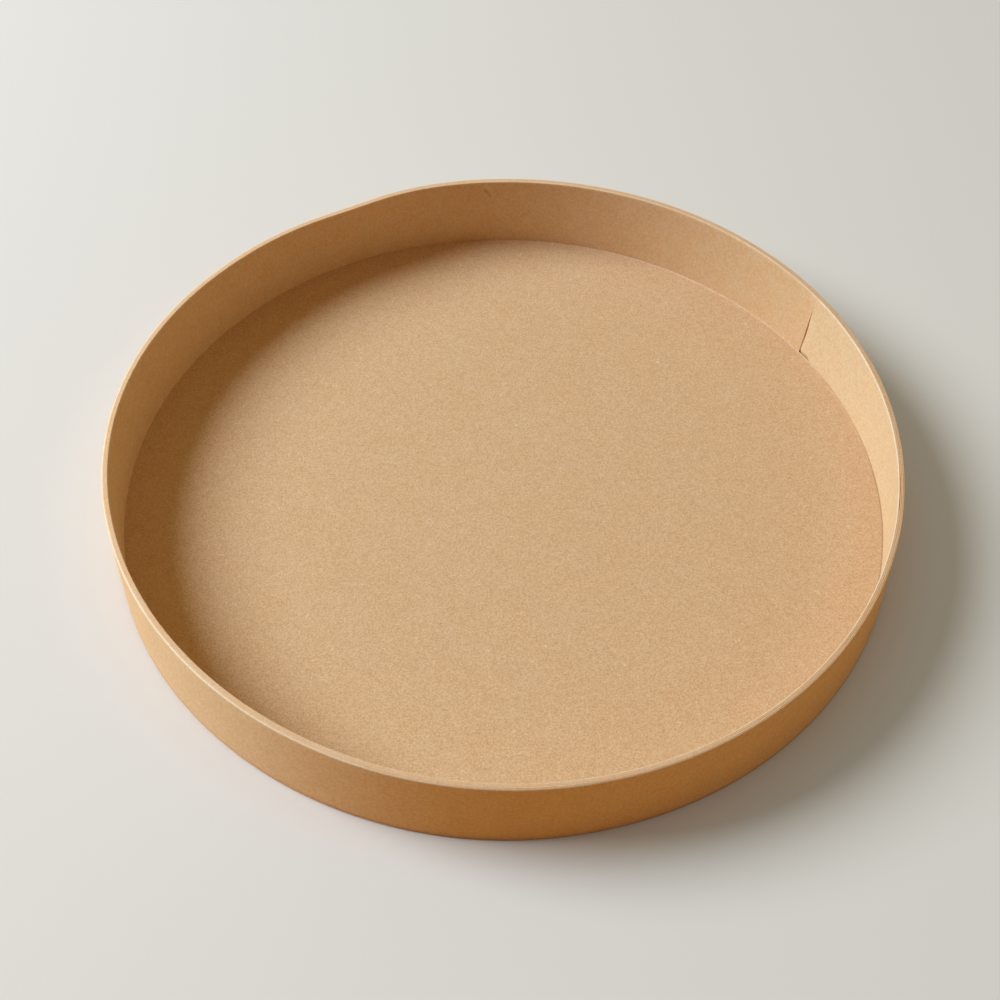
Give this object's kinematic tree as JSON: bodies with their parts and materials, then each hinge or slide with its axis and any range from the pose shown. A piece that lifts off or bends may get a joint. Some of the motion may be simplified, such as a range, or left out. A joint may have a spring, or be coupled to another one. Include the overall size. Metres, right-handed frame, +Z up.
{
  "type": "paper serving platter",
  "caption": "Round kraft-board serving platter: a low upright hoop wound from thin board, with a flat disc glued into its foot as the floor for food.",
  "frame": {"origin": "under the middle of the platter, on the surface it stands on", "axes": "+Z up out of the open top, -Y towards the viewer of the picture, +X to the viewer's right"},
  "size_m": [0.3007, 0.3004, 0.0355],
  "materials": {
    "kraft_hoop": "matt unbleached kraft board with fine fibres",
    "kraft_floor": "matt unbleached kraft board with fine fibres"
  },
  "bodies": {
    "root": {"side_wall": "kraft_hoop", "base_disc": "kraft_floor"}
  },
  "joints": []
}
